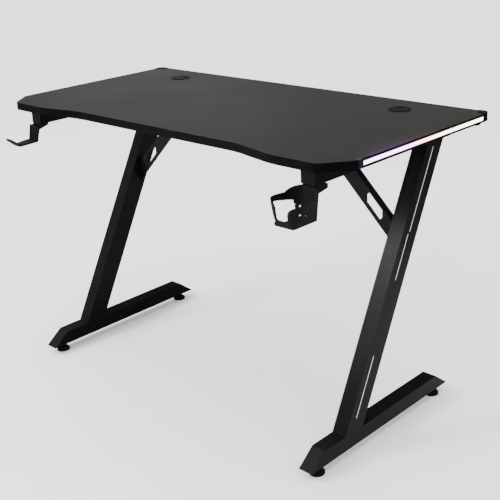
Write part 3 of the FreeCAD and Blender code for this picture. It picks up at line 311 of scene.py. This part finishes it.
# Rail end plugs: black polyethylene, moulded, pushed into the four open ends of the rails.
# The mould's spark texture leaves them duller than the coated tube.
moulded_plastic = coated("moulded_black_plastic", "#101010", "#141414", patch_mm=25, grain_mm=1.5,
                         depth_mm=0.05, rough=(0.55, 0.68), Specular_IOR_Level=0.025)
dress(["rail_end_plugs"], moulded_plastic, edge_mm=1.2)

# Levelling feet: a threaded steel stud with a hexagon collar, zinc plated, turns in a nut that is
# welded inside the foot, and a round moulded pad clips on its lower end. The plating is bright,
# with a faint mottle.
zinc = coated("bright_zinc_plate", "#a9abad", "#bfc1c3", patch_mm=8, grain_mm=0.8, depth_mm=0.01,
              rough=(0.25, 0.4), Metallic=1.0)
# heights from the stud's lower end and radii, then heights on the collar and widths across its
# flats, then heights from the stud's upper end and radii, all in millimetres
STUD_FOOT = ((0, 5.4), (0.6, 6), (3.4, 6), (4, 5.4), (4, 4))
COLLAR = ((0, 12), (0.5, 13), (3.3, 13), (3.8, 11.8))
STUD_TIP = ((-0.5, 3.3), (0, 2.8))
NECK_RADIUS_MM = 4
COLLAR_GAP_MM = 0.3
COLLAR_HEIGHT_MM = 3.8
THREAD_START_MM = 4.2
THREAD_STOP_MM = 1
THREAD_ROOT_MM = 3.7
THREAD_CREST_MM = 3.95
THREAD_PITCH_MM = 1.25
THREAD_DEPTH_MM = 0.6
STEPS_PER_TURN = 6


def turned(loops, count=36):
    """A closed mesh from rings round z: a height, and a radius or its rule by angle, in mm."""
    made = bmesh.new()
    rings = []
    for height, radius in loops:
        ring = []
        for index in range(count):
            angle = 2 * math.pi * index / count
            reach = (radius(angle) if callable(radius) else radius) * MM
            ring.append(made.verts.new((reach * math.cos(angle), reach * math.sin(angle), height * MM)))
        rings.append(ring)
    for lower, upper in zip(rings, rings[1:]):
        for index in range(count):
            after = (index + 1) % count
            made.faces.new((lower[index], lower[after], upper[after], upper[index]))
    made.faces.new(list(reversed(rings[0])))
    made.faces.new(rings[-1])
    return made


def hexagon(across_flats):
    """The radius of a hexagon at an angle."""
    return lambda angle: across_flats / 2 / math.cos((angle + math.pi / 6) % (math.pi / 3) - math.pi / 6)


def thread(height):
    """The radius of the stud's thread at an angle, at a height."""
    turns = height / THREAD_PITCH_MM
    return lambda angle: THREAD_CREST_MM - THREAD_DEPTH_MM * abs(
        2 * ((turns - angle / (2 * math.pi)) % 1) - 1)


for side in SIDES:
    for end in ("front", "back"):
        corner = f"{end}_{side}"
        low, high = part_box(f"leveller_stud_{corner}")
        pad_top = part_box(f"leveller_pad_{corner}")[1].z / MM
        base = low.z / MM
        top = high.z / MM
        collar = pad_top + COLLAR_GAP_MM
        loops = [(base + up, radius) for up, radius in STUD_FOOT]
        loops.append((collar, NECK_RADIUS_MM))
        loops += [(collar + up, hexagon(flats)) for up, flats in COLLAR]
        loops.append((collar + COLLAR_HEIGHT_MM, THREAD_ROOT_MM))
        height = collar + THREAD_START_MM
        while height < top - THREAD_STOP_MM:
            loops.append((height, thread(height)))
            height += THREAD_PITCH_MM / STEPS_PER_TURN
        loops += [(top + up, radius) for up, radius in STUD_TIP]
        stud = solid(f"threaded_stud_{corner}", turned(loops), zinc)
        stud.location = ((low.x + high.x) / 2, (low.y + high.y) / 2, 0)
        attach(stud, f"stud_{corner}")
        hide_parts(f"leveller_stud_{corner}")
        dress([f"leveller_pad_{corner}"], moulded_plastic, edge_mm=1.0)
dress(["leveller_nuts"], zinc, edge_mm=0.4)

# Cross beam and knee braces: a square tube between the rails, bolted on through its end plates,
# and two braces folded from 2 mm sheet with a six-sided slot, all coated with the frame.
dress(["cross_beam"], powder_coat, edge_mm=2.0)
dress(["beam_end_plates"], powder_coat, edge_mm=0.5)
dress(["knee_brace_right", "knee_brace_left"], powder_coat, edge_mm=0.7)

# Bolts and screws: button heads with a hexagon socket in the frame, pan heads with a cross recess
# in the plastic pieces and the board, cold headed from steel wire. The bolts are blackened, with a
# dull dark shine, and the screws are zinc plated.
black_oxide = coated("blackened_steel", "#1c1c1d", "#2a2a2b", patch_mm=6, grain_mm=0.8, depth_mm=0.01,
                     rough=(0.35, 0.5), Metallic=0.6)
LARGE_HEAD_MM = 4.5
THICK_HEAD_MM = 3.5
THIN_HEAD_MM = 2.5
END_MM = 0.05
POINT_MM = 0.8
POINT_SHARE = 0.7
SHANK_SHARE = 0.98
HEAD_EDGE_MM = 0.3
HEAD_EDGE_SHARE = 0.96
# the head's outline above that edge: shares of its thickness and of its radius
HEAD_OUTLINE = ((0.35, 1.0), (0.7, 0.9), (0.9, 0.74), (1.0, 0.58))
RECESS_DEPTH = 0.6
RECESS_TAPER = 0.92
SOCKET_SHARE = 0.8
CROSS_REACH = 0.5
CROSS_CORE = 0.17
CROSS_ARM_RADIANS = 0.2
BOLT_SIDES = 24


def cross(reach, core):
    """The radius of a cross recess at an angle."""
    quarter = math.pi / 2
    return lambda angle: (
        reach if abs((angle + quarter / 2) % quarter - quarter / 2) < CROSS_ARM_RADIANS else core)


def islands(mesh):
    """The separate solids of a mesh, as lists of their corners."""
    work = bmesh.new()
    work.from_mesh(mesh)
    bmesh.ops.remove_doubles(work, verts=work.verts, dist=JOIN_MM * MM)
    left = set(work.verts)
    found = []
    while left:
        reached = [left.pop()]
        for vert in reached:
            fresh = [edge.other_vert(vert) for edge in vert.link_edges]
            fresh = [other for other in fresh if other in left]
            left.difference_update(fresh)
            reached += fresh
        found.append([vert.co.copy() for vert in reached])
    work.free()
    return found


def fasteners(node, recess, material):
    """Replaces a node's plain bolts by headed ones with a rounded edge and a driver's recess."""
    gathered = bmesh.new()
    for corners in islands(nodes[node].data):
        low = Vector([min(corner[i] for corner in corners) for i in range(3)])
        high = Vector([max(corner[i] for corner in corners) for i in range(3)])
        spans = high - low
        axis = max(range(3), key=lambda i: spans[i])
        length = spans[axis] / MM
        middle = (low + high) / 2
        crosswise = Vector([0 if i == axis else 1 for i in range(3)])
        reach = {}
        for end in (low[axis], high[axis]):
            ring = [corner - middle for corner in corners if abs(corner[axis] - end) < END_MM * MM]
            reach[end] = max((offset * crosswise).length for offset in ring) / MM
        head_end = max(reach, key=reach.get)
        head = reach[head_end]
        shank = min(reach.values())
        thick = THICK_HEAD_MM if head > LARGE_HEAD_MM else THIN_HEAD_MM
        under = length - thick
        loops = [(0, shank * POINT_SHARE), (POINT_MM, shank * SHANK_SHARE), (under, shank * SHANK_SHARE),
                 (under, head * HEAD_EDGE_SHARE), (under + HEAD_EDGE_MM, head)]
        loops += [(under + thick * up, head * out) for up, out in HEAD_OUTLINE]
        loops += [(length, recess(head)), (length - thick * RECESS_DEPTH, recess(head * RECESS_TAPER))]
        bolt = turned(loops, BOLT_SIDES)
        toward = Vector((0, 0, 0))
        toward[axis] = 1 if head_end == high[axis] else -1
        tip = middle - toward * length * MM / 2
        turn = toward.to_track_quat("Z", "Y").to_matrix().to_4x4()
        bmesh.ops.transform(bolt, matrix=Matrix.Translation(tip) @ turn, verts=bolt.verts)
        part = bpy.data.meshes.new("bolt_part")
        bolt.to_mesh(part)
        bolt.free()
        gathered.from_mesh(part)
        bpy.data.meshes.remove(part)
    made = solid(f"headed_{node}", gathered, material)
    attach(made, "desk")
    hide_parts(node)


for node in ("beam_bolts", "brace_bolts"):
    fasteners(node, lambda head: hexagon(head * SOCKET_SHARE), black_oxide)
for node in ("rail_screws", "beam_screws", "cup_screws", "hook_screws", "controller_screws"):
    fasteners(node, lambda head: cross(head * CROSS_REACH, head * CROSS_CORE), zinc)

# Desktop: a fibreboard panel faced with dark grey matte laminate, with a black plastic band glued
# round its edge. The pressed laminate has a very fine, even tooth and hardly any gloss, and the
# band is as dull.
laminate = coated("matte_grey_laminate", "#171715", "#191917", patch_mm=180, grain_mm=3, depth_mm=0.02,
                  rough=(0.5, 0.54), Specular_IOR_Level=0.025)
banding = coated("black_edge_banding", "#050505", "#070707", patch_mm=40, grain_mm=2, depth_mm=0.03,
                 rough=(0.5, 0.62), Specular_IOR_Level=0.015)
dress(["desktop_panel"], laminate, edge_mm=0.3)
dress(["edge_band"], banding, edge_mm=0.4)

# Light strips: a flat extruded aluminium channel, anodised black, let into each side edge, with a
# lamp tape on its floor and a milky acrylic diffuser snapped in flush. The lamps run from violet at
# the front through rose to warm white at the back, and burn out to near white in the picture.
GLOW_STOPS = ((0.0, "#dab2ff"), (0.28, "#e8a8fa"), (0.45, "#ff9db4"), (0.56, "#ffd2b0"), (1.0, "#fff4da"))
GLOW_MIDDLE = 8.0
GLOW_EDGE = 0.06
# Painted shade: towards its upper and lower edges the lit diffuser is painted near black with a violet
# tint, and its glow fades there.
LIP_SHADE_SHARES = (0.5, 0.86)
LIP_SHADE_COLOUR = "#0b090f"
anodised = coated("black_anodised_aluminium", "#0e0e0f", "#141415", patch_mm=20, grain_mm=1,
                  depth_mm=0.01, rough=(0.35, 0.5), Metallic=0.6)
tape = coated("white_lamp_tape", "#e6e6e0", "#f4f4f0", patch_mm=8, grain_mm=1, depth_mm=0.02,
              rough=(0.5, 0.6))
diffuser = coated("lit_milky_acrylic", "#efe9f4", "#f8f4fa", patch_mm=30, grain_mm=2, depth_mm=0.01,
                  rough=(0.4, 0.5))
glow_tree = diffuser.node_tree
glow_shader = glow_tree.nodes["Principled BSDF"]
strip_low, strip_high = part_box("led_diffuser_right")
strip_middle = (strip_low.z + strip_high.z) / 2
half_height = (strip_high.z - strip_low.z) / 2
spot = add(glow_tree, "ShaderNodeSeparateXYZ",
           links={0: glow_tree.nodes["Texture Coordinate"].outputs["Object"]})
along = add(glow_tree, "ShaderNodeMapRange", None, {"From Min": strip_low.y, "From Max": strip_high.y},
            {"Value": spot.outputs["Y"]})
hues = add(glow_tree, "ShaderNodeValToRGB", links={"Fac": along.outputs["Result"]})
stops = hues.color_ramp.elements
for index, (share, colour) in enumerate(GLOW_STOPS):
    stop = stops[index] if index < 2 else stops.new(share)
    stop.position = share
    stop.color = linear(colour)
from_middle = add(glow_tree, "ShaderNodeMath", {"operation": "SUBTRACT"}, {1: strip_middle},
                  {0: spot.outputs["Z"]})
off_middle = add(glow_tree, "ShaderNodeMath", {"operation": "ABSOLUTE"}, links={0: from_middle.outputs[0]})
# The painted shade at the diffuser's edges: from here its colour turns near black and its glow falls off.
lip_shade = add(glow_tree, "ShaderNodeMapRange", {"interpolation_type": "SMOOTHSTEP"},
          {"From Min": LIP_SHADE_SHARES[0] * half_height, "From Max": LIP_SHADE_SHARES[1] * half_height},
          {"Value": off_middle.outputs[0]})
glow = add(glow_tree, "ShaderNodeMapRange", None, {"To Min": GLOW_MIDDLE, "To Max": GLOW_EDGE},
           {"Value": lip_shade.outputs["Result"]})
milk = glow_shader.inputs["Base Color"].links[0].from_socket
shaded = add(glow_tree, "ShaderNodeMix", {"data_type": "RGBA"}, {7: linear(LIP_SHADE_COLOUR)},
             {0: lip_shade.outputs["Result"], 6: milk})
glow_tree.links.new(shaded.outputs[2], glow_shader.inputs["Base Color"])
glow_tree.links.new(hues.outputs["Color"], glow_shader.inputs["Emission Color"])
glow_tree.links.new(glow.outputs["Result"], glow_shader.inputs["Emission Strength"])
for side in SIDES:
    dress([f"led_channel_{side}"], anodised, edge_mm=0.2)
    dress([f"led_tape_{side}"], tape, edge_mm=0.1)
    dress([f"led_diffuser_{side}"], diffuser, edge_mm=0.3)
dress(["led_end_caps"], moulded_plastic, edge_mm=0.3)

# Corner caps: moulded in jet black plastic and pushed over the back corners behind the strips, a
# little higher than the board, with a rounded upper edge. The plastic is deep black and dull.
jet_plastic = coated("moulded_jet_black_plastic", "#060606", "#090909", patch_mm=25, grain_mm=1.5,
                     depth_mm=0.05, rough=(0.5, 0.62), Specular_IOR_Level=0.015)
dress(["corner_caps"], jet_plastic, edge_mm=0.9)

# End blocks: smoked acrylic, as thick as the board, at the front ends of the strips. Polished, they
# are darkly glossy. A weak violet glow is painted into them as emission, in place of light from the first
# lamps behind them.
smoked_painted_glow = coated("smoked_violet_acrylic_painted_glow", "#0c0a12", "#120f1a", patch_mm=12, grain_mm=1, depth_mm=0.01,
                rough=(0.25, 0.35), Specular_IOR_Level=0.03,
                # Painted glow: this faint violet emission stands in for the strip's light shining through
                # the block.
                Emission_Color=linear("#b79fd8"), Emission_Strength=0.024)
dress(["led_end_blocks"], smoked_painted_glow, edge_mm=0.6)

# A little of the right strip's light spills over its edge on the board, violet in front and rose
# further back. It comes from two lamps that neither the camera nor a reflection shows.
SPILL_WIDTH_MM = 6
SPILL_X_MM = 606
SPILL_Z_MM = 772
SPILL_DEGREES = 60
# colour, first and last y in metres, power in watts
SPILLS = {"violet": ("#a84ae0", -0.15, 0.0, 0.36), "rose": ("#e0705c", 0.0, 0.1, 0.08)}
for tint, (colour, start_y, end_y, power) in SPILLS.items():
    spill = bpy.data.lights.new(f"spill_{tint}", "AREA")
    spill.shape = "RECTANGLE"
    spill.size = SPILL_WIDTH_MM * MM
    spill.size_y = end_y - start_y
    spill.color = linear(colour)[:3]
    spill.energy = power
    lamp = bpy.data.objects.new(spill.name, spill)
    lamp.location = (SPILL_X_MM * MM, (start_y + end_y) / 2, SPILL_Z_MM * MM)
    lamp.rotation_euler = (0, math.radians(SPILL_DEGREES), 0)
    lamp.visible_camera = False
    lamp.visible_glossy = False
    bpy.context.scene.collection.objects.link(lamp)

# Cable grommets: a moulded sleeve pushed into a hole near the back edge and a round cap with a
# cable notch that turns in it, both in the corner caps' jet black plastic.
for side in SIDES:
    dress([f"grommet_sleeve_{side}", f"grommet_cap_{side}"], jet_plastic, edge_mm=0.4)

# Cup holder and headphone hook: moulded in black plastic and screwed under the front ends of the
# rails. The cup goes from a square foot to a round rim, open in front for a mug's handle and at its
# left for rinsing out; the hook is a ribbed strip. The mould rounds the edges and textures the faces.
dress(["cup_holder"], moulded_plastic, edge_mm=0.7)
dress(["headphone_hook"], moulded_plastic, edge_mm=0.6)

# Light controller: a small moulded case on a base plate under the board, with its circuit board,
# power socket and mode button, and the two leads to the strips, held by moulded clips. The board's
# green varnish is half glossy, and the leads' soft PVC a little duller.
solder_mask = coated("green_solder_mask", "#0f4a2a", "#145a34", patch_mm=10, grain_mm=1, depth_mm=0.02,
                     rough=(0.35, 0.5))
sheath = coated("black_lead_sheath", "#0f0f0f", "#161616", patch_mm=12, grain_mm=1, depth_mm=0.02,
                rough=(0.45, 0.6), Specular_IOR_Level=0.3)
dress(["controller_base", "controller_case", "power_socket", "mode_button", "cable_clips"],
      moulded_plastic, edge_mm=0.4)
dress(["controller_board"], solder_mask, edge_mm=0.1)
dress(["led_lead_right", "led_lead_left"], sheath, edge_mm=0.05)
